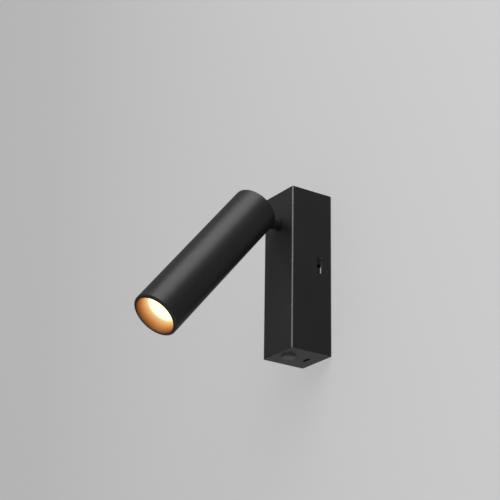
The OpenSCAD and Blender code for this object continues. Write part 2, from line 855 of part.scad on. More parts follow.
module control_board() {
    half = inner_w / 2 - rib_h - free_gap;
    rear = post_rear + post_inset - free_gap;
    color([0.1, 0.35, 0.15])
    difference() {
        block([-half, front_in + 1, board_low], [half, rear, board_low + board_t]);
        for (s = [-1, 1], y = [post_front, post_rear])
            translate([s * post_x, y, board_low - 1]) cylinder(d = post_screw_d + free_gap, h = board_t + 2);
    }
}

module board_screws() {
    color("silver")
    for (s = [-1, 1], y = [post_front, post_rear])
        translate([s * post_x, y, board_low + board_t]) pan_screw(post_screw_d - 2 * seat_gap, post_screw_l);
}

module usb_socket() {
    color("silver")
    translate([socket_x, socket_y, board_low - socket_l]) difference() {
        linear_extrude(socket_l) slot_shape(socket_w, socket_t);
        translate([0, 0, -1]) linear_extrude(socket_l - 1)
            slot_shape(socket_w - 2 * socket_wall, socket_t - 2 * socket_wall);
    }
}

module usb_tongue() {
    color([0.1, 0.1, 0.1])
    translate([socket_x, socket_y, board_low - socket_l])
        block([-3.35, -0.35, 0.8], [3.35, 0.35, socket_l - 2]);
}

module button_switch() {
    color([0.15, 0.15, 0.15])
    translate([0, button_y, board_low - tact_h]) difference() {
        translate([-tact_w / 2, -tact_w / 2, 0]) cube([tact_w, tact_w, tact_h]);
        translate([0, 0, -1]) cylinder(d = plunger_d + 4 * run_gap, h = 2 + button_travel + 0.5);
    }
}

// Head

module head_tube() {
    outer = head_d / 2;
    inner = head_bore / 2;
    color([0.13, 0.13, 0.13])
    in_head() difference() {
        rotate_extrude() polygon([
            [mouth_d / 2, head_front],
            [outer - bevel_w, head_front],
            [outer, head_front + bevel_h],
            [outer, head_rear - edge_cut],
            [outer - edge_cut, head_rear],
            [inner, head_rear],
            [inner, head_front + lip_t],
            [mouth_d / 2, head_front + lip_t]
        ]);
        rotate([-90, 0, 0]) cylinder(d = slot_w, h = head_d);
        translate([-slot_w / 2, 0, 0]) cube([slot_w, head_d, head_l]);
    }
}

// Puts what is drawn at the origin at the four rear cap screws, on the cap's outer face
module at_cap_screws() {
    for (sx = [-1, 1], sy = [-1, 1])
        translate([sx * cap_screw_r * cos(cap_screw_angle), sy * cap_screw_r * sin(cap_screw_angle), head_rear])
            children();
}

module rear_cap() {
    color([0.13, 0.13, 0.13])
    in_head() difference() {
        translate([0, 0, block_rear]) cylinder(d = seat_d, h = rear_cap_t);
        translate([-slot_w / 2, -slot_w / 2, block_rear - 1]) cube([slot_w, head_d, rear_cap_t + 2]);
        at_cap_screws() flat_screw_hole(cap_screw_d, rear_cap_t + 1, seat_gap);
    }
}

module cap_screws() {
    color("dimgray")
    in_head() at_cap_screws() flat_screw(cap_screw_d, cap_screw_l);
}

module hinge_block() {
    pocket_side = slot_w / 2 + free_gap;
    flat_h = 2 * hinge_d + 2;
    color("darkgray")
    in_head() difference() {
        translate([0, 0, -block_front]) cylinder(d = seat_d, h = block_rear + block_front - seat_gap);
        translate([-slot_w / 2, -pocket_side, -pocket_front]) cube([slot_w, head_d, head_d]);
        translate([-head_d, 0, 0]) rotate([0, 90, 0]) cylinder(d = hinge_d + 2 * seat_gap, h = 2 * head_d);
        for (s = [0, 1]) mirror([s, 0, 0])
            translate([block_half, -flat_h / 2, -flat_h / 2]) cube([head_d, flat_h, flat_h]);
        translate([0, 0, -block_front - 1]) cylinder(d = lead_d + 4 * seat_gap, h = block_front);
        at_cap_screws()
            translate([0, 0, -cap_screw_l - 1]) cylinder(d = cap_screw_d + 2 * seat_gap, h = cap_screw_l + 1);
    }
}

module hinge_screw() {
    head_h = 2.4;
    color("dimgray")
    in_head() translate([block_half + seat_gap, 0, 0]) rotate([0, -90, 0]) difference() {
        union() {
            cylinder(d = hinge_d, h = 2 * block_half + hinge_d);
            translate([0, 0, -head_h]) cylinder(d = 1.75 * hinge_d, h = head_h);
        }
        translate([0, 0, -head_h - 1]) cylinder(d = 0.65 * hinge_d, h = 2.4, $fn = 6);
    }
}

module hinge_nut() {
    color("silver")
    in_head() translate([-block_half - seat_gap, 0, 0]) rotate([0, -90, 0])
        hex_nut(1.75 * hinge_d, hinge_d + 2 * seat_gap, 0.8 * hinge_d);
}

module friction_discs() {
    color([0.85, 0.83, 0.78])
    in_head() for (s = [0, 1]) mirror([s, 0, 0])
        translate([tongue_t / 2 + run_gap, 0, 0]) rotate([0, 90, 0])
            ring(stem_d, hinge_bore, disc_t);
}

module heat_sink() {
    color("darkgray")
    in_head() difference() {
        union() {
            translate([0, 0, sink_front]) cylinder(d = seat_d, h = sink_base);
            translate([0, 0, sink_front]) linear_extrude(sink_l) {
                circle(d = sink_core_d);
                for (i = [0 : fin_count - 1])
                    rotate(i * 360 / fin_count) translate([0, -fin_t / 2]) square([seat_d / 2 - 0.4, fin_t]);
            }
        }
        translate([0, 0, sink_front - 1]) cylinder(d = lead_d + 4 * seat_gap, h = sink_l + 2);
        for (s = [-1, 1])
            translate([s * board_screw_r, 0, sink_front - 1])
                cylinder(d = board_screw_d + 2 * seat_gap, h = board_screw_grip + 2);
    }
}

module led_board() {
    color([0.9, 0.9, 0.9])
    in_head() difference() {
        translate([0, 0, board_front]) cylinder(d = board_d, h = board_t);
        for (s = [-1, 1])
            translate([s * board_screw_r, 0, board_front - 1]) cylinder(d = board_screw_d + 2 * seat_gap, h = board_t + 2);
    }
}

module led_board_screws() {
    color("silver")
    in_head() for (s = [-1, 1])
        translate([s * board_screw_r, 0, board_front]) rotate([180, 0, 0])
            pan_screw(board_screw_d, board_t + board_screw_grip);
}

module led_chip() {
    color([0.95, 0.85, 0.3])
    in_head() translate([-chip_w / 2, -chip_w / 2, board_front - chip_t]) cube([chip_w, chip_w, chip_t]);
}

module lens_holder() {
    outer = lens_d / 2 + seat_gap + holder_wall;
    inner = lens_d / 2 + seat_gap;
    ledge = lens_d / 2 - holder_ledge;
    color([0.1, 0.1, 0.1])
    in_head() rotate_extrude() polygon([
        [outer, lens_front],
        [inner, lens_front],
        [inner, lens_front + lens_flange_t + seat_gap],
        [ledge, lens_front + lens_flange_t + seat_gap],
        [ledge, board_front],
        [outer, board_front]
    ]);
}

// A solid collimator: a flange and a curved flank, with a recess over the light source
module optic_lens() {
    flank_d = lens_d - 3;
    flank_h = lens_h - lens_flange_t;
    steps = 10;
    color([0.95, 0.95, 1, 0.5])
    in_head() rotate_extrude() polygon(concat(
        [[0, lens_front], [lens_d / 2, lens_front], [lens_d / 2, lens_front + lens_flange_t]],
        [for (i = [0 : steps])
            let (t = i / steps)
            [lens_foot_d / 2 + (flank_d - lens_foot_d) / 2 * sqrt(1 - t), lens_foot - flank_h * (1 - t)]],
        [[recess_d / 2, lens_foot], [recess_d / 2, lens_foot - recess_h], [0, lens_foot - recess_h]]
    ));
}

// The glare baffle: a thin skirt in the tube, behind its lip, and a cone down to the lens
module baffle() {
    edge_z = head_front + lip_t + seat_gap;
    inner_z = head_front + baffle_depth;
    skirt_r = seat_d / 2;
    view_r = lens_view_d / 2;
    color([0.25, 0.15, 0.08])
    in_head() rotate_extrude() polygon([
        [skirt_r, edge_z],
        [mouth_d / 2 + seat_gap, edge_z],
        [view_r, inner_z],
        [view_r, inner_z + baffle_wall],
        [view_r + baffle_wall, inner_z + baffle_wall],
        [skirt_r - baffle_wall, edge_z + 3 * baffle_wall],
        [skirt_r - baffle_wall, inner_z + 3],
        [skirt_r, inner_z + 3]
    ]);
}

module head_lead() {
    color([0.7, 0.7, 0.7])
    in_head() translate([0, 0, sink_front]) cylinder(d = lead_d, h = -pocket_front - sink_front, $fn = 32);
}

housing_shell();
top_cap();
bottom_cap();
wall_bracket();
lock_screw();
cable_bush();
stem_plate();
stem_bush();
stop_pin();
led_driver();
driver_pad();
driver_lead();
terminal_block();
terminal_screws();
earth_screw();
earth_tag();
control_board();
board_screws();
usb_socket();
usb_tongue();
button_switch();
switch_body();
switch_terminals();
rocker();
push_button();
swivel_stem();
friction_washer();
spring_washer();
stop_washer();
stem_nut();
stem_lead();
head_tube();
rear_cap();
cap_screws();
hinge_block();
hinge_screw();
hinge_nut();
friction_discs();
heat_sink();
led_board();
led_board_screws();
led_chip();
lens_holder();
optic_lens();
baffle();
head_lead();
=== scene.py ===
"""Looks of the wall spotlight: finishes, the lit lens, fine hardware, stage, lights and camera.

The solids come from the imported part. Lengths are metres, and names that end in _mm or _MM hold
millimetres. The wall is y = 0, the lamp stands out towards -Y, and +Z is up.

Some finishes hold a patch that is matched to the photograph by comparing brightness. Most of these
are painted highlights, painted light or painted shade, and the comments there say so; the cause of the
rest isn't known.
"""

import json
import math

import bmesh
import bpy
from mathutils import Matrix, Vector


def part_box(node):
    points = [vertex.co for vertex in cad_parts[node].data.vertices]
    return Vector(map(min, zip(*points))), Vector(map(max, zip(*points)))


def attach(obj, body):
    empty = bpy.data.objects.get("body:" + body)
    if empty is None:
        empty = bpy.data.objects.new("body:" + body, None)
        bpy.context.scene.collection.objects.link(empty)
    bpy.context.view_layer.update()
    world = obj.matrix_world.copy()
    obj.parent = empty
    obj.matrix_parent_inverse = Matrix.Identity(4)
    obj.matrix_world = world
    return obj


MM_PER_METRE = 1000

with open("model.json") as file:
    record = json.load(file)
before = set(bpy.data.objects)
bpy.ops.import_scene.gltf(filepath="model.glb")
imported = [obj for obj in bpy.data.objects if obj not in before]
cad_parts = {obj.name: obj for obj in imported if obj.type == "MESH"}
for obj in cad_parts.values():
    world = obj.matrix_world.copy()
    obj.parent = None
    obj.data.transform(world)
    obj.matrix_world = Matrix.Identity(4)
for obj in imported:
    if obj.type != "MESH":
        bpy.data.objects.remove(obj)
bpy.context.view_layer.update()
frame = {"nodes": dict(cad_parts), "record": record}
nodes = frame["nodes"]
head_tilt = next(joint for joint in frame["record"]["behaviour"]["joints"] if joint["name"] == "head_tilt")


def corners(node):
    """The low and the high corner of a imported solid's box."""
    low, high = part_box(node)
    return Vector(low), Vector(high)


HOUSING_LOW, HOUSING_HIGH = corners("housing_shell")
ROCKER_LOW, ROCKER_HIGH = corners("rocker")
ROCKER_MIDDLE_Z = (ROCKER_LOW.z + ROCKER_HIGH.z) / 2
BUTTON_FACE_Z = corners("push_button")[0].z

# The head's own axis, from the tilt axis to the front. Its lowest tilt is straight down.
HEAD_ANGLE = math.radians(-head_tilt["range_deg"][0])
HEAD_AXIS = Vector((0, -math.sin(HEAD_ANGLE), -math.cos(HEAD_ANGLE)))
HEAD_PIVOT = Vector(head_tilt["pos_m"])
HEAD_FRONT_MM = 136.3
BAFFLE_DEPTH_MM = 10.6


# Camera: solved from the box's corners and the tube's outline in the photograph, with square
# pixels and its centre in the middle of the picture


CAMERA_PLACE = Vector((1.0220, -0.7590, -0.4853))
CAMERA_AZIMUTH = 55.95
CAMERA_ELEVATION = -21.98
CAMERA_ROLL = 0.95
CAMERA_LENS_MM = 117.09
SENSOR_MM = 36
NEAREST_SEEN = 0.05
FARTHEST_SEEN = 50


def make_camera():
    """The photograph's viewpoint: below the lamp and to the right of it."""
    azimuth = math.radians(CAMERA_AZIMUTH)
    elevation = math.radians(CAMERA_ELEVATION)
    roll = math.radians(CAMERA_ROLL)
    back = Vector((
        math.sin(azimuth) * math.cos(elevation),
        -math.cos(azimuth) * math.cos(elevation),
        math.sin(elevation),
    ))
    level = (-back).cross(Vector((0, 0, 1))).normalized()
    rise_way = level.cross(-back)
    right = math.cos(roll) * level + math.sin(roll) * rise_way
    up = -math.sin(roll) * level + math.cos(roll) * rise_way
    data = bpy.data.cameras.new("photo_camera")
    data.lens = CAMERA_LENS_MM
    data.sensor_width = SENSOR_MM
    data.clip_start = NEAREST_SEEN
    data.clip_end = FARTHEST_SEEN
    camera = bpy.data.objects.new("photo_camera", data)
    turn = Matrix((right, up, back)).transposed().to_4x4()
    camera.matrix_world = Matrix.Translation(CAMERA_PLACE) @ turn
    bpy.context.scene.collection.objects.link(camera)
    bpy.context.scene.camera = camera


# Node helpers


def colour(code):
    """Linear RGBA of an sRGB hex colour."""
    channels = [int(code[i : i + 2], 16) / 255 for i in (1, 3, 5)]
    linear = [c / 12.92 if c <= 0.04045 else ((c + 0.055) / 1.055) ** 2.4 for c in channels]
    return (*linear, 1.0)


def pattern_scale(size_mm):
    """Scale of a texture whose pattern repeats about every size_mm on Object coordinates."""
    return MM_PER_METRE / size_mm


def add(tree, kind, settings=None, inputs=None):
    """Adds a node. Inputs are named or numbered sockets, each with a value or another node's output."""
    node = tree.nodes.new(kind if "Node" in kind else "ShaderNode" + kind)
    for name, value in (settings or {}).items():
        setattr(node, name, value)
    for name, value in (inputs or {}).items():
        if isinstance(value, bpy.types.NodeSocket):
            tree.links.new(value, node.inputs[name])
        else:
            node.inputs[name].default_value = value
    return node


def maths(tree, operation, *values):
    """The result of one sum on numbers."""
    return add(tree, "Math", {"operation": operation}, dict(enumerate(values))).outputs[0]


def vector_maths(tree, operation, *values):
    """The results of one sum on vectors: a Vector and a Value, of which the sum fills one."""
    return add(tree, "VectorMath", {"operation": operation}, dict(enumerate(values))).outputs


def start_material(name):
    """An empty material and its node tree."""
    material = bpy.data.materials.new(name)
    material.use_nodes = True
    material.node_tree.nodes.clear()
    return material, material.node_tree


def place(tree):
    """The point on the piece, in its own metres."""
    return add(tree, "TexCoord").outputs["Object"]


def coordinates(tree):
    """The X, Y and Z of the point on the piece."""
    return add(tree, "SeparateXYZ", None, {0: place(tree)}).outputs


def noise(tree, size_mm, detail=2, stretch=None):
    """Noise from 0 to 1 with features of about size_mm, drawn out along an axis where stretch says so."""
    where = place(tree)
    if stretch:
        where = add(tree, "Mapping", None, {"Vector": where, "Scale": stretch}).outputs[0]
    return add(tree, "TexNoise", None, {
        "Vector": where, "Scale": pattern_scale(size_mm), "Detail": detail, "Roughness": 0.55,
    }).outputs[0]


def cells(tree, size_mm, what="Distance"):
    """Irregular cells about size_mm wide: the distance from a cell's middle, or each cell's Color."""
    voronoi = add(tree, "TexVoronoi", None, {"Vector": place(tree), "Scale": pattern_scale(size_mm)})
    return voronoi.outputs[what]


def between(tree, value, low, high, start=0.3, end=0.7):
    """Low up to start, high from end on, and even in between. The default takes a noise's middle range."""
    return add(tree, "MapRange", None, {
        "Value": value, "From Min": start, "From Max": end, "To Min": low, "To Max": high,
    }).outputs[0]


def rise(tree, value, start, end):
    """Mask that goes from 0 to 1 between start and end."""
    return between(tree, value, 0, 1, start, end)


def fall(tree, value, start, end):
    """Mask that goes from 1 to 0 between start and end."""
    return between(tree, value, 1, 0, start, end)


def span(datum, offsets_mm):
    """The places that lie these millimetres away from a place in metres."""
    return [datum + offset / MM_PER_METRE for offset in offsets_mm]


def both(tree, first, second):
    """1 where two masks are both 1."""
    return maths(tree, "MULTIPLY", first, second)


def mixed(tree, share, first, second):
    """Colour that goes from first to second with share."""
    return add(tree, "Mix", {"data_type": "RGBA"}, {0: share, 6: first, 7: second}).outputs[2]


def mottled(tree, pattern, first, second):
    """Colour that wanders between two hex colours with a noise."""
    return mixed(tree, between(tree, pattern, 0, 1), colour(first), colour(second))


def from_pivot(tree):
    """The way from the tilt axis to a point of the head."""
    return vector_maths(tree, "SUBTRACT", place(tree), HEAD_PIVOT)["Vector"]


def along_head_mm(tree):
    """How far a point of the head lies in front of the tilt axis, in millimetres."""
    return vector_maths(tree, "DOT_PRODUCT", from_pivot(tree), HEAD_AXIS * MM_PER_METRE)["Value"]


def off_head_axis_mm(tree):
    """How far a point of the head lies from the head's axis, in millimetres."""
    across = vector_maths(tree, "CROSS_PRODUCT", from_pivot(tree), HEAD_AXIS * MM_PER_METRE)["Vector"]
    return vector_maths(tree, "LENGTH", across)["Value"]


# How far the rounded normal still agrees with the face's own, on a sharp edge and on a flat face
SHARP_EDGE = 0.8
FLAT_FACE = 0.995


def edge_wear(tree, rounded):
    """1 on sharp outer and inner edges and 0 on the faces between them."""
    flat = add(tree, "NewGeometry").outputs["Normal"]
    agreement = vector_maths(tree, "DOT_PRODUCT", rounded, flat)["Value"]
    return fall(tree, agreement, SHARP_EDGE, FLAT_FACE)


def soft_edges(tree, radius_mm):
    """The normal of an edge that is rounded by radius_mm."""
    return add(tree, "Bevel", {"samples": 4}, {"Radius": radius_mm / MM_PER_METRE}).outputs[0]


def bump(tree, height, depth_mm, normal=None):
    """The normal of a surface with this relief."""
    inputs = {"Height": height, "Distance": depth_mm / MM_PER_METRE, "Strength": 1.0}
    if normal:
        inputs["Normal"] = normal
    return add(tree, "Bump", None, inputs).outputs[0]


def finish_surface(tree, inputs):
    """Ends a material with one shader that has these inputs."""
    shader = add(tree, "BsdfPrincipled", None, inputs)
    add(tree, "OutputMaterial", None, {"Surface": shader.outputs[0]})


# Finishes of the housing, the stem and the head


# Where two patches of the coat begin and end: the painted edge highlight from the section's side faces,
# the mouth ring from the tilt axis
LONG_EDGE_MM = (-1.1, -0.6)
MOUTH_RING_MM = (HEAD_FRONT_MM - 0.6, HEAD_FRONT_MM - 0.3)
# Painted highlight on the section's long edges, with a smoother coat there
LONG_EDGE_HIGHLIGHT_GREY = "#707071"
LONG_EDGE_ROUGHNESS = 0.25
SMALL_EDGE_GREY = "#2c2c2d"
MOUTH_RING_BLACK = "#060606"
MOUTH_RING_ROUGHNESS = 0.75


def long_edges(tree):
    """Mask of the painted highlight: 1 on the housing's rounded upright edges and 0 on its faces, from the
    place on the section.
    """
    spot = coordinates(tree)
    middle_y = (HOUSING_LOW.y + HOUSING_HIGH.y) / 2
    across = maths(tree, "ABSOLUTE", spot["X"])
    deep = maths(tree, "ABSOLUTE", maths(tree, "SUBTRACT", spot["Y"], middle_y))
    return rise(tree, maths(tree, "MINIMUM", across, deep), *span(HOUSING_HIGH.x, LONG_EDGE_MM))


def powder_coated_aluminium(name, deep, light, roughness, square=False, mouth=False):
    """Aluminium under a fine matte powder coat: nearly black, a little lighter on small edges, with
    a faint orange peel that breaks up the soft highlight. Matched to the photograph: square paints
    a pale, smoother highlight on the section's long edges, and mouth gives a dark ring at the
    tube's front, cause unknown."""
    material, tree = start_material(name)
    rounded = soft_edges(tree, 0.3)
    edges = long_edges(tree) if square else edge_wear(tree, rounded)
    body = mottled(tree, noise(tree, 30), deep, light)
    # On the section's long edges the coat is painted pale as a highlight
    coat = mixed(tree, edges, body, colour(LONG_EDGE_HIGHLIGHT_GREY if square else SMALL_EDGE_GREY))
    grain = noise(tree, 0.9, 3)
    dull = between(tree, grain, roughness - 0.05, roughness + 0.05)
    if square:
        dull = between(tree, edges, dull, LONG_EDGE_ROUGHNESS, 0, 1)
    if mouth:
        ring = rise(tree, along_head_mm(tree), *MOUTH_RING_MM)
        coat = mixed(tree, ring, coat, colour(MOUTH_RING_BLACK))
        dull = between(tree, ring, dull, MOUTH_RING_ROUGHNESS, 0, 1)
    finish_surface(tree, {
        "Base Color": coat,
        "Roughness": dull,
        "Normal": bump(tree, grain, 0.012, rounded),
        "IOR": 1.46,
    })
    return material


# Where the painted light on the button's side wall begins, from its face upwards
BUTTON_WALL_MM = (0.4, 0.7)
BUTTON_WALL_PAINTED_LIGHT = "#727274"


def anodised_button():
    """Turned and dyed aluminium button: dark grey, with a fine even grain. Its side wall is lighter
    than its face, which is matched to the photograph, cause unknown. Its side wall is painted
    lighter than its face as painted light, matched to the photograph."""
    material, tree = start_material("dyed_anodised_button")
    rounded = soft_edges(tree, 0.3)
    # Mask of the painted light on the button's side wall
    wall = rise(tree, coordinates(tree)["Z"], *span(BUTTON_FACE_Z, BUTTON_WALL_MM))
    grain = noise(tree, 0.6, 3)
    face = mottled(tree, grain, "#424243", "#474749")
    finish_surface(tree, {
        "Base Color": mixed(tree, wall, face, colour(BUTTON_WALL_PAINTED_LIGHT)),
        "Roughness": between(tree, grain, 0.36, 0.46),
        "Normal": bump(tree, grain, 0.008, rounded),
        "IOR": 1.46,
    })
    return material


def black_oxide_steel():
    """Hardened screws blackened in a hot bath: dark grey, slightly oily, brighter on the rims."""
    material, tree = start_material("black_oxide_steel")
    rounded = soft_edges(tree, 0.12)
    body = mottled(tree, noise(tree, 1.5), "#1b1b1c", "#2a2a2b")
    finish_surface(tree, {
        "Base Color": mixed(tree, edge_wear(tree, rounded), body, colour("#5a5a5c")),
        "Metallic": 0.7,
        "Roughness": between(tree, noise(tree, 0.4), 0.3, 0.42),
        "Normal": rounded,
    })
    return material


def zinc_plated_steel():
    """Sheet and turned steel with bright zinc: light grey, faintly blue, in fine patches of tone."""
    material, tree = start_material("zinc_plated_steel")
    tone = add(tree, "RGBToBW", None, {"Color": cells(tree, 2.5, "Color")}).outputs[0]
    finish_surface(tree, {
        "Base Color": mixed(tree, tone, colour("#b4b7bb"), colour("#c9ccd0")),
        "Metallic": 1.0,
        "Roughness": between(tree, tone, 0.28, 0.4, 0, 1),
        "Normal": bump(tree, noise(tree, 0.5), 0.004, soft_edges(tree, 0.15)),
    })
    return material


def machined_aluminium():
    """Bare aluminium from the saw and the mill: silver, with fine tool lines across the bar."""
    material, tree = start_material("machined_aluminium")
    lines = noise(tree, 0.6, 2, stretch=(0.08, 1, 1))
    finish_surface(tree, {
        "Base Color": mottled(tree, lines, "#b9babc", "#d2d3d5"),
        "Metallic": 1.0,
        "Roughness": between(tree, lines, 0.26, 0.4),
        "Normal": bump(tree, lines, 0.01, soft_edges(tree, 0.15)),
    })
    return material


def moulded_rubber():
    """Soft black rubber from a mould: deep grey and dull, with a slightly dusty bloom."""
    material, tree = start_material("moulded_rubber")
    finish_surface(tree, {
        "Base Color": mottled(tree, noise(tree, 6, 3), "#1d1d1d", "#2b2a29"),
        "Roughness": between(tree, noise(tree, 0.7), 0.68, 0.85),
        "Normal": bump(tree, noise(tree, 0.7), 0.01, soft_edges(tree, 0.2)),
        "IOR": 1.52,
    })
    return material


def closed_cell_foam():
    """Black adhesive foam: matte, with the open bubbles of its cut faces."""
    material, tree = start_material("closed_cell_foam")
    bubbles = cells(tree, 0.6)
    finish_surface(tree, {
        "Base Color": mixed(tree, bubbles, colour("#1c1c1c"), colour("#343434")),
        "Roughness": 0.95,
        "Normal": bump(tree, bubbles, 0.08),
    })
    return material


def natural_acetal():
    """Unfilled white acetal for bushes and washers: creamy and smooth."""
    material, tree = start_material("natural_acetal")
    finish_surface(tree, {
        "Base Color": mottled(tree, noise(tree, 8), "#dcd8cc", "#e6e3d9"),
        "Roughness": between(tree, noise(tree, 1.2), 0.32, 0.42),
        "Normal": soft_edges(tree, 0.15),
        "IOR": 1.48,
    })
    return material


def moulded_polycarbonate():
    """White fire-safe plastic of the driver and the terminal block: fine spark-eroded mould grain."""
    material, tree = start_material("moulded_polycarbonate")
    grain = noise(tree, 0.45, 2)
    finish_surface(tree, {
        "Base Color": mottled(tree, noise(tree, 14), "#d6d6d2", "#e2e2df"),
        "Roughness": between(tree, grain, 0.42, 0.56),
        "Normal": bump(tree, grain, 0.015, soft_edges(tree, 0.3)),
        "IOR": 1.58,
    })
    return material


def lead_sheath():
    """Extruded grey silicone sheath of the thin leads: soft sheen and slightly uneven."""
    material, tree = start_material("silicone_lead_sheath")
    finish_surface(tree, {
        "Base Color": mottled(tree, noise(tree, 5), "#767676", "#858585"),
        "Roughness": between(tree, noise(tree, 1.0), 0.48, 0.6),
        "Normal": bump(tree, noise(tree, 0.8), 0.008),
        "IOR": 1.43,
    })
    return material


def turned_brass():
    """Brass clamps, screws and tags: warm yellow with a thin brown tarnish in patches."""
    material, tree = start_material("turned_brass")
    tarnish = rise(tree, noise(tree, 3, 4), 0.45, 0.75)
    finish_surface(tree, {
        "Base Color": mixed(tree, tarnish, colour("#cfae5f"), colour("#a5813f")),
        "Metallic": 1.0,
        "Roughness": between(tree, tarnish, 0.24, 0.42, 0, 1),
        "Normal": soft_edges(tree, 0.1),
    })
    return material


# The boards' tracks are the gaps of a brick pattern. Length and spacing are in repeats.
TRACK_REPEAT_MM = 4
TRACK_LENGTH = 3.7
TRACK_SPACING = 0.28


def solder_mask(name, field, track, track_width_mm):
    """Epoxy board under solder mask: glossy lacquer, with the copper tracks as paler, raised lines."""
    material, tree = start_material(name)
    tracks = add(tree, "TexBrick", {"offset": 0.5}, {
        "Vector": place(tree),
        "Scale": pattern_scale(TRACK_REPEAT_MM),
        "Mortar Size": track_width_mm / TRACK_REPEAT_MM / 2,
        "Brick Width": TRACK_LENGTH,
        "Row Height": TRACK_SPACING,
    }).outputs["Fac"]
    finish_surface(tree, {
        "Base Color": mixed(tree, tracks, colour(field), colour(track)),
        "Roughness": between(tree, noise(tree, 1.5), 0.25, 0.34),
        "Normal": bump(tree, tracks, 0.03),
        "IOR": 1.52,
    })
    return material


def drawn_socket_steel():
    """Nickel-plated steel shell of the power socket: satin, with drawing lines along the plug's way."""
    material, tree = start_material("drawn_socket_steel")
    lines = noise(tree, 0.3, 2, stretch=(1, 1, 0.1))
    finish_surface(tree, {
        "Base Color": mottled(tree, lines, "#6d6d6c", "#808080"),
        "Metallic": 1.0,
        "Roughness": between(tree, lines, 0.25, 0.38),
        "Normal": soft_edges(tree, 0.08),
    })
    return material


# Patches of the rocker switch, matched to the photograph: painted highlights on the switch's rim
# and painted shade over the rocker's pin. Patches of the rocker switch, matched to the
# photograph, cause unknown. Each pair says where a soft boundary begins and ends.

# Out of the box, from its side face
RECESS_MM = (-0.4, -0.1)
# Towards the wall, from the rocker's side that is nearer the wall
HIGHLIGHT_SIDE_MM = (-0.6, -0.3)
UPPER_HIGHLIGHT_SIDE_MM = (-0.5, -0.1)
# Upwards, from the rocker's lower end
HIGHLIGHT_FOOT_MM = (-0.2, 0.4)
# Upwards, from the rocker's middle
HIGHLIGHT_TOP_MM = (-1.4, -0.6)
SHADE_BAND_FOOT_MM = (-1.8, -1.2)
SHADE_BAND_TOP_MM = (0.7, 1.5)
# Upwards, from the rocker's upper end
UPPER_HIGHLIGHT_FOOT_MM = (0.8, 1.1)


def painted_highlight_beside_pressed_half(tree):
    """Mask of the white painted highlight: 1 on the switch's rim on the wall's side, beside the rocker's
    pressed half, and 0 elsewhere.
    """
    spot = coordinates(tree)
    wall_side = rise(tree, spot["Y"], *span(ROCKER_HIGH.y, HIGHLIGHT_SIDE_MM))
    inside = fall(tree, spot["X"], *span(HOUSING_HIGH.x, RECESS_MM))
    below = fall(tree, spot["Z"], *span(ROCKER_MIDDLE_Z, HIGHLIGHT_TOP_MM))
    above_end = rise(tree, spot["Z"], *span(ROCKER_LOW.z, HIGHLIGHT_FOOT_MM))
    return both(tree, both(tree, wall_side, inside), both(tree, below, above_end))


def painted_highlight_above_rocker(tree):
    """Mask of the grey painted highlight: 1 on the inside of the switch's rim above the rocker's upper
    end, and 0 elsewhere.
    """
    spot = coordinates(tree)
    above = rise(tree, spot["Z"], *span(ROCKER_HIGH.z, UPPER_HIGHLIGHT_FOOT_MM))
    inside = fall(tree, spot["X"], *span(HOUSING_HIGH.x, RECESS_MM))
    room_side = fall(tree, spot["Y"], *span(ROCKER_HIGH.y, UPPER_HIGHLIGHT_SIDE_MM))
    return both(tree, above, both(tree, inside, room_side))


def painted_shade_over_pin(tree):
    """Mask of the painted shade: 1 in a band across the rocker's middle, over its pin, and 0 on its two
    halves.
    """
    height = coordinates(tree)["Z"]
    above = rise(tree, height, *span(ROCKER_MIDDLE_Z, SHADE_BAND_FOOT_MM))
    below = fall(tree, height, *span(ROCKER_MIDDLE_Z, SHADE_BAND_TOP_MM))
    return both(tree, above, below)


def moulded_black_plastic(name, base, low, high, rim=False, rocker=False):
    """Black moulded plastic: low and high are its roughness in the smoother and duller patches.
    Matched to the photograph: rim paints highlights on the switch's rim, an almost white one beside
    the pressed half and a grey one at its upper end; rocker paints shade as a black band over the
    rocker's pin. Matched to the photograph, cause unknown: rim gives the switch's rim an almost
    white patch beside the pressed half and a grey upper end, rocker gives the rocker a black band
    over its pin. The band is a black metal, which reflects almost nothing."""
    material, tree = start_material(name)
    rounded = soft_edges(tree, 0.15)
    body = mottled(tree, noise(tree, 4), base, "#1f1f20")
    gloss = between(tree, noise(tree, 0.8, 3), low, high)
    band = 0.0
    if rim:
        # Painted highlights on the switch's rim: grey above the rocker, almost white beside its pressed
        # half
        body = mixed(tree, painted_highlight_above_rocker(tree), body, colour("#7c7c7c"))
        body = mixed(tree, painted_highlight_beside_pressed_half(tree), body, colour("#efefed"))
    if rocker:
        # Painted shade: a black band across the rocker over its pin
        band = painted_shade_over_pin(tree)
        body = mixed(tree, band, body, colour("#000000"))
        gloss = between(tree, band, gloss, 1.0, 0, 1)
    finish_surface(tree, {
        "Base Color": body,
        "Metallic": band,
        "Roughness": gloss,
        "Normal": bump(tree, noise(tree, 0.5), 0.003, rounded),
        "IOR": 1.53,
    })
    return material


# The lit pieces. Their emission stands for light that the lamp's own source would give.


PHOSPHOR_GLOW = 12.0
LENS_GLOW = 2.6
# Painted light: the lens's light on the reflector cone
BAFFLE_PAINTED_LENS_LIGHT = 0.55
# Where the lens's amber rim begins and ends, from its axis
LENS_RIM_MM = (11.2, 14.2)


def led_phosphor():
    """Silicone with yellow phosphor over the blue dies: lit, it is far brighter than all round it."""
    material, tree = start_material("led_phosphor")
    dies = cells(tree, 1.1)
    finish_surface(tree, {
        "Base Color": mixed(tree, dies, colour("#ffd54a"), colour("#ffe98a")),
        "Roughness": 0.35,
        "Emission Color": colour("#ffdca0"),
        "Emission Strength": PHOSPHOR_GLOW,
        "Normal": bump(tree, dies, 0.05),
    })
    return material


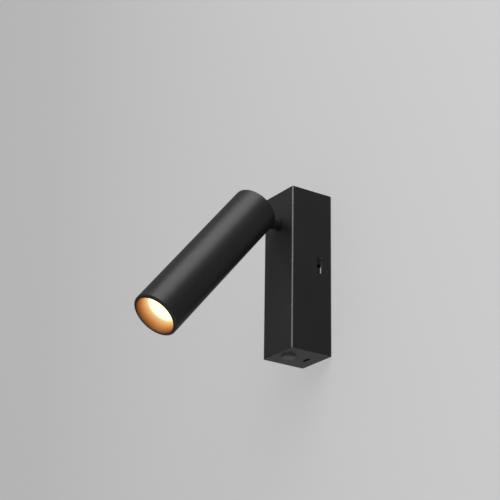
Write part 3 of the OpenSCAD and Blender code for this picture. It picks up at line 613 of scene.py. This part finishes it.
def lit_acrylic_lens():
    """Acrylic collimator filled with warm light: its middle burns out to white and its rim is amber.
    The emission is matched to the photograph, and the finish under it is opaque."""
    material, tree = start_material("lit_acrylic_lens")
    facets = cells(tree, 1.6)
    rim = rise(tree, off_head_axis_mm(tree), *LENS_RIM_MM)
    finish_surface(tree, {
        "Base Color": mixed(tree, facets, colour("#8a8478"), colour("#8a7d68")),
        "Roughness": 0.12,
        "IOR": 1.49,
        "Emission Color": mixed(tree, rim, colour("#ffce9c"), colour("#8e6a41")),
        "Emission Strength": LENS_GLOW,
        "Normal": bump(tree, facets, 0.03),
    })
    return material


def bronze_anodised_aluminium():
    """Spun and anodised reflector cone: satin bronze with a fine grain. An emission matched to the
    photograph stands for the lens's light on it: pale beside the lens, amber half way, brown in front.
    The bronze itself is painted darker towards the front as painted shade."""
    material, tree = start_material("bronze_anodised_aluminium")
    grain = noise(tree, 0.8, 3)
    bronze = mottled(tree, grain, "#96642f", "#a06b35")
    deep = along_head_mm(tree)
    half_way = HEAD_FRONT_MM - BAFFLE_DEPTH_MM / 2
    rear_half = rise(tree, deep, HEAD_FRONT_MM - BAFFLE_DEPTH_MM, half_way)
    # Painted shade: towards the front, the bronze and its painted light grow darker
    front_half = rise(tree, deep, half_way, HEAD_FRONT_MM - 1)
    glow = mixed(tree, rear_half, colour("#fff0b5"), colour("#bf7b3b"))
    finish_surface(tree, {
        "Base Color": mixed(tree, front_half, bronze, colour("#5a371b")),
        "Metallic": 0.4,
        "Roughness": between(tree, grain, 0.42, 0.55),
        "Emission Color": mixed(tree, front_half, glow, colour("#3a1f0c")),
        "Emission Strength": BAFFLE_PAINTED_LENS_LIGHT,
        "Normal": bump(tree, grain, 0.01),
    })
    return material


# The record's slots, and the solids that have a patch which their slot's other solids don't have


COAT = ("#202022", "#242426", 0.42)
FINISHES = {
    "black_coat": powder_coated_aluminium("powder_coated_aluminium", *COAT),
    "black_stem": powder_coated_aluminium("powder_coated_stem", "#1c1c1d", "#202021", 0.4),
    "zinc_steel": zinc_plated_steel(),
    "black_steel": black_oxide_steel(),
    "bare_aluminium": machined_aluminium(),
    "black_rubber": moulded_rubber(),
    "foam_pad": closed_cell_foam(),
    "natural_plastic": natural_acetal(),
    "driver_white": moulded_polycarbonate(),
    "lead_grey": lead_sheath(),
    "brass": turned_brass(),
    "board_green": solder_mask("green_solder_mask", "#12512b", "#1d6337", 0.35),
    "board_white": solder_mask("white_solder_mask", "#e4e4df", "#d2d2cc", 0.6),
    "socket_steel": drawn_socket_steel(),
    "black_plastic": moulded_black_plastic("moulded_black_nylon", "#161617", 0.42, 0.55),
    "switch_black": moulded_black_plastic("polished_black_abs_painted_shade", "#121213", 0.22, 0.32, rocker=True),
    "button_black": anodised_button(),
    "led_phosphor": led_phosphor(),
    "lens_clear": lit_acrylic_lens(),
    "baffle_bronze": bronze_anodised_aluminium(),
}
SECTION_COAT_PAINTED_EDGES = powder_coated_aluminium("powder_coated_section_painted_edge_highlight", *COAT, square=True)
OWN_FINISHES = {
    "housing_shell": SECTION_COAT_PAINTED_EDGES,
    "top_cap": SECTION_COAT_PAINTED_EDGES,
    "bottom_cap": SECTION_COAT_PAINTED_EDGES,
    "switch_body": moulded_black_plastic("black_switch_rim_painted_highlights", "#0e0e0f", 0.42, 0.55, rim=True),
    "head_tube": powder_coated_aluminium("powder_coated_tube", *COAT, mouth=True),
}


def dress_solids():
    """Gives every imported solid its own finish, or else the finish of its slot in the record."""
    for part in frame["record"]["subparts"]:
        node = part["node"]
        mesh = nodes[node].data
        mesh.materials.clear()
        mesh.materials.append(OWN_FINISHES.get(node, FINISHES[part["material_slot"]]))


# Fine hardware on the control board and in the socket: guessed, and made in rows of one piece


CONTACT_MM = (0.28, 0.06, 4.2)
CONTACT_ROUND_MM = 0.02
CONTACTS_PER_ROW = 12
CONTACT_PITCH = 0.0005
CONTACT_CLEARANCE = 0.00002
CONTACT_MIDDLE_UP = 0.0030
CHIP_MM = (4.9, 3.9, 1.45)
CHIP_ROUND_MM = 0.12
CHIP_MIDDLE_UP_MM = 0.9
LEG_PATH_MM = ((1.9, 0.75), (2.3, 0.75), (2.55, 0.01), (3.05, 0.01))
LEG_WIDTH_MM = 0.42
LEG_THICKNESS_MM = 0.2
LEGS_PER_ROW = 4
LEG_PITCH = 0.00127
CAPACITOR_MM = (1.5, 1.6, 1.2)
CAPACITOR_ROUND_MM = 0.1
CAPACITOR_MIDDLE_UP_MM = 0.62
CAPACITOR_END_MM = (1.6, 0.4, 1.3)
CAPACITOR_END_ROUND_MM = 0.08
CAPACITOR_END_MIDDLE_UP_MM = 0.66
CAPACITORS_PER_ROW = 5
CAPACITOR_PITCH = 0.0031
CAPACITOR_ROW = 0.0065
CAPACITOR_END_SHIFT = 0.0008


def make_rows_tree():
    """Two facing rows of one piece. Returns the tree and the identifiers of its named inputs."""
    tree = bpy.data.node_groups.new("facing_rows", "GeometryNodeTree")
    kinds = {
        "Piece": "Object", "Count": "Int", "Pitch": "Float", "Row Offset": "Float", "Finish": "Material",
    }
    inputs = {}
    for label, kind in kinds.items():
        socket = tree.interface.new_socket(label, in_out="INPUT", socket_type="NodeSocket" + kind)
        inputs[label] = socket.identifier
    tree.interface.new_socket("Geometry", in_out="OUTPUT", socket_type="NodeSocketGeometry")
    given = add(tree, "NodeGroupInput").outputs
    gaps = maths(tree, "SUBTRACT", given["Count"], 1.0)
    length = maths(tree, "MULTIPLY", gaps, given["Pitch"])
    first = maths(tree, "MULTIPLY", length, -0.5)
    start = add(tree, "CombineXYZ", None, {"X": first, "Y": given["Row Offset"]}).outputs[0]
    step = add(tree, "CombineXYZ", None, {"X": given["Pitch"]}).outputs[0]
    line = add(tree, "GeometryNodeMeshLine", {"mode": "OFFSET"}, {
        "Count": given["Count"], "Start Location": start, "Offset": step,
    }).outputs[0]
    piece = add(tree, "GeometryNodeObjectInfo", None, {"Object": given["Piece"]}).outputs["Geometry"]
    row = add(tree, "GeometryNodeInstanceOnPoints", None, {"Points": line, "Instance": piece}).outputs[0]
    half_turn = {"Geometry": row, "Rotation": (0, 0, math.pi)}
    facing = add(tree, "GeometryNodeTransform", None, half_turn).outputs[0]
    join = add(tree, "GeometryNodeJoinGeometry", None, {"Geometry": row})
    tree.links.new(facing, join.inputs["Geometry"])
    real = add(tree, "GeometryNodeRealizeInstances", None, {"Geometry": join.outputs[0]}).outputs[0]
    dress = add(tree, "GeometryNodeSetMaterial", None, {"Geometry": real, "Material": given["Finish"]})
    add(tree, "NodeGroupOutput", None, {"Geometry": dress.outputs[0]})
    return tree, inputs


ROWS_TREE, ROWS_INPUTS = make_rows_tree()


def linked_object(name, data):
    """A new object in the scene with this mesh or light."""
    made = bpy.data.objects.new(name, data)
    bpy.context.scene.collection.objects.link(made)
    return made


def settled_mesh(name, work):
    """The mesh of a finished bmesh, which is freed."""
    mesh = bpy.data.meshes.new(name)
    work.to_mesh(mesh)
    work.free()
    return mesh


def rounded_block(name, size_mm, round_mm, middle_up_mm=0.0):
    """A small moulded block with rounded edges, its middle middle_up_mm above the origin."""
    work = bmesh.new()
    sides = Matrix.Diagonal((*(side / MM_PER_METRE for side in size_mm), 1.0))
    bmesh.ops.create_cube(work, size=1.0, matrix=sides)
    offset = round_mm / MM_PER_METRE
    bmesh.ops.bevel(work, geom=work.edges[:], offset=offset, segments=2, affect="EDGES", profile=0.5)
    bmesh.ops.translate(work, verts=work.verts[:], vec=Vector((0, 0, middle_up_mm / MM_PER_METRE)))
    return settled_mesh(name, work)


def bent_leg(name, path_mm, width_mm, thickness_mm):
    """A flat leg of sheet metal that follows a path of (y, z) points."""
    half = width_mm / MM_PER_METRE / 2
    work = bmesh.new()
    rings = []
    for y_mm, z_mm in path_mm:
        low = z_mm / MM_PER_METRE
        high = low + thickness_mm / MM_PER_METRE
        ring = [(-half, low), (half, low), (half, high), (-half, high)]
        rings.append([work.verts.new((across, y_mm / MM_PER_METRE, height)) for across, height in ring])
    for back, front in zip(rings, rings[1:]):
        for i in range(4):
            work.faces.new((back[i], back[(i + 1) % 4], front[(i + 1) % 4], front[i]))
    work.faces.new(rings[0])
    work.faces.new(rings[-1])
    bmesh.ops.recalc_face_normals(work, faces=work.faces[:])
    return settled_mesh(name, work)


def dressed_piece(name, mesh, slot, middle):
    """One plain piece on the housing, in its slot's finish, with its place in the mesh."""
    mesh.transform(Matrix.Translation(middle))
    mesh.materials.clear()
    mesh.materials.append(FINISHES[slot])
    piece = linked_object(name, mesh)
    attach(piece, "housing")


def facing_rows(name, one, count, pitch, row_offset, slot, middle):
    """Two facing rows of one mesh round middle, as a single piece on the housing."""
    pattern = linked_object(name + "_pattern", one)
    holder = linked_object(name + "_rows", bpy.data.meshes.new(name + "_rows"))
    modifier = holder.modifiers.new("rows", "NODES")
    modifier.node_group = ROWS_TREE
    values = {
        "Piece": pattern,
        "Count": count,
        "Pitch": pitch,
        "Row Offset": row_offset,
        "Finish": FINISHES[slot],
    }
    for label, value in values.items():
        modifier[ROWS_INPUTS[label]] = value
    settled = holder.evaluated_get(bpy.context.evaluated_depsgraph_get())
    mesh = bpy.data.meshes.new_from_object(settled)
    mesh.name = name
    holder.modifiers.clear()
    bpy.data.objects.remove(holder)
    bpy.data.objects.remove(pattern)
    dressed_piece(name, mesh, slot, middle)


def make_socket_contacts():
    """Flat contacts on both faces of the socket's tongue."""
    low, high = corners("usb_tongue")
    middle = (low + high) / 2
    middle.z = low.z + CONTACT_MIDDLE_UP
    row_offset = (high.y - low.y) / 2 + CONTACT_CLEARANCE
    pad = rounded_block("contact", CONTACT_MM, CONTACT_ROUND_MM)
    facing_rows("socket_contacts", pad, CONTACTS_PER_ROW, CONTACT_PITCH, row_offset, "brass", middle)


def make_charge_chip():
    """The socket's charging chip with its legs, and a row of capacitors on each side of it. The
    capacitors' ceramic shares the slot of the acetal."""
    low, high = corners("control_board")
    spot = (low + high) / 2
    spot.z = high.z
    chip = rounded_block("chip", CHIP_MM, CHIP_ROUND_MM, CHIP_MIDDLE_UP_MM)
    dressed_piece("charge_chip", chip, "black_plastic", spot)
    leg = bent_leg("leg", LEG_PATH_MM, LEG_WIDTH_MM, LEG_THICKNESS_MM)
    facing_rows("charge_chip_legs", leg, LEGS_PER_ROW, LEG_PITCH, 0.0, "zinc_steel", spot)
    body = rounded_block("capacitor", CAPACITOR_MM, CAPACITOR_ROUND_MM, CAPACITOR_MIDDLE_UP_MM)
    many = CAPACITORS_PER_ROW
    pitch = CAPACITOR_PITCH
    facing_rows("capacitors", body, many, pitch, CAPACITOR_ROW, "natural_plastic", spot)
    for side, shift in (("outer", CAPACITOR_END_SHIFT), ("inner", -CAPACITOR_END_SHIFT)):
        name = f"capacitor_{side}_ends"
        end = rounded_block(name, CAPACITOR_END_MM, CAPACITOR_END_ROUND_MM, CAPACITOR_END_MIDDLE_UP_MM)
        facing_rows(name, end, many, pitch, CAPACITOR_ROW + shift, "zinc_steel", spot)


# Stage: a floor, a wall that only the camera sees, and soft studio light


STAGE_REACH = 4.0
FLOOR_Z = -0.62
FLOOR_PALE = "#d6d6d6"
WALL_GAP = 0.0006
WALL_PALE = "#727272"
# The wall's emission at two places across it, and these places
WALL_GLOW = (0.358, 0.49)
WALL_GLOW_X = (-0.5, 0.38)


def stage_sheet(name, points, material):
    """A flat four-sided sheet of the stage."""
    mesh = bpy.data.meshes.new(name)
    mesh.from_pydata(points, [], [(0, 1, 2, 3)])
    mesh.materials.append(material)
    sheet = linked_object(name, mesh)
    return sheet


def floor_paper():
    """Matte studio paper."""
    material, tree = start_material("floor_paper")
    paper = add(tree, "BsdfDiffuse", None, {"Color": colour(FLOOR_PALE)})
    add(tree, "OutputMaterial", None, {"Surface": paper.outputs[0]})
    return material


def lit_wall():
    """Matte stage wall. Emission that rises to the right is most of its brightness, so that the
    lamp's shadow stays faint. Its back is clear, so that the lamp is seen from behind too."""
    material, tree = start_material("lit_wall")
    paper = add(tree, "BsdfDiffuse", None, {"Color": colour(WALL_PALE)})
    strength = between(tree, coordinates(tree)["X"], *WALL_GLOW, *WALL_GLOW_X)
    glow = add(tree, "Emission", None, {"Color": colour("#ffffff"), "Strength": strength})
    front = add(tree, "AddShader", None, {0: paper.outputs[0], 1: glow.outputs[0]})
    clear = add(tree, "BsdfTransparent")
    behind = add(tree, "NewGeometry").outputs["Backfacing"]
    seen = add(tree, "MixShader", None, {0: behind, 1: front.outputs[0], 2: clear.outputs[0]})
    add(tree, "OutputMaterial", None, {"Surface": seen.outputs[0]})
    return material


def make_stage():
    """Floor below the lamp and a wall just behind it. The wall gives the lamp no light and doesn't
    show in its highlights."""
    far = STAGE_REACH
    stage_sheet("stage_floor", [
        (-far, -far, FLOOR_Z), (far, -far, FLOOR_Z), (far, far, FLOOR_Z), (-far, far, FLOOR_Z),
    ], floor_paper())
    wall = stage_sheet("stage_wall", [
        (-far, WALL_GAP, FLOOR_Z), (far, WALL_GAP, FLOOR_Z), (far, WALL_GAP, far), (-far, WALL_GAP, far),
    ], lit_wall())
    wall.visible_diffuse = False
    wall.visible_glossy = False
    wall.visible_transmission = False
    wall.visible_shadow = False


WORLD_GREY = "#e2e2e2"
WORLD_STRENGTH = 0.25


def softbox(name, direction, distance, width, height, radiance):
    """An oblong area light that looks at the lamp from this direction, as bright as radiance says."""
    data = bpy.data.lights.new(name, "AREA")
    data.shape = "RECTANGLE"
    data.size = width
    data.size_y = height
    data.energy = radiance * math.pi * width * height
    light = linked_object(name, data)
    light.location = Vector(direction).normalized() * distance
    light.rotation_mode = "QUATERNION"
    light.rotation_quaternion = light.location.to_track_quat("Z", "Y")


def make_light():
    """Even world light and four soft area lights, set by comparing the brightness of the lamp's
    faces with the photograph."""
    world = bpy.data.worlds.new("studio")
    world.use_nodes = True
    background = world.node_tree.nodes["Background"]
    background.inputs["Color"].default_value = colour(WORLD_GREY)
    background.inputs["Strength"].default_value = WORLD_STRENGTH
    bpy.context.scene.world = world
    softbox("key_softbox", (0.45, -0.80, 0.38), distance=1.6, width=1.5, height=0.7, radiance=2.1)
    softbox("left_softbox", (-0.10, -0.92, 0.38), distance=1.6, width=2.0, height=1.0, radiance=0.82)
    softbox("top_softbox", (0.42, -0.28, 0.86), distance=1.3, width=1.1, height=1.1, radiance=3.2)
    softbox("bounce_softbox", (-0.77, 0.52, -0.37), distance=1.6, width=1.5, height=1.0, radiance=0.2)


make_camera()
dress_solids()
make_socket_contacts()
make_charge_chip()
make_stage()
make_light()
bpy.context.scene.view_settings.view_transform = "Standard"
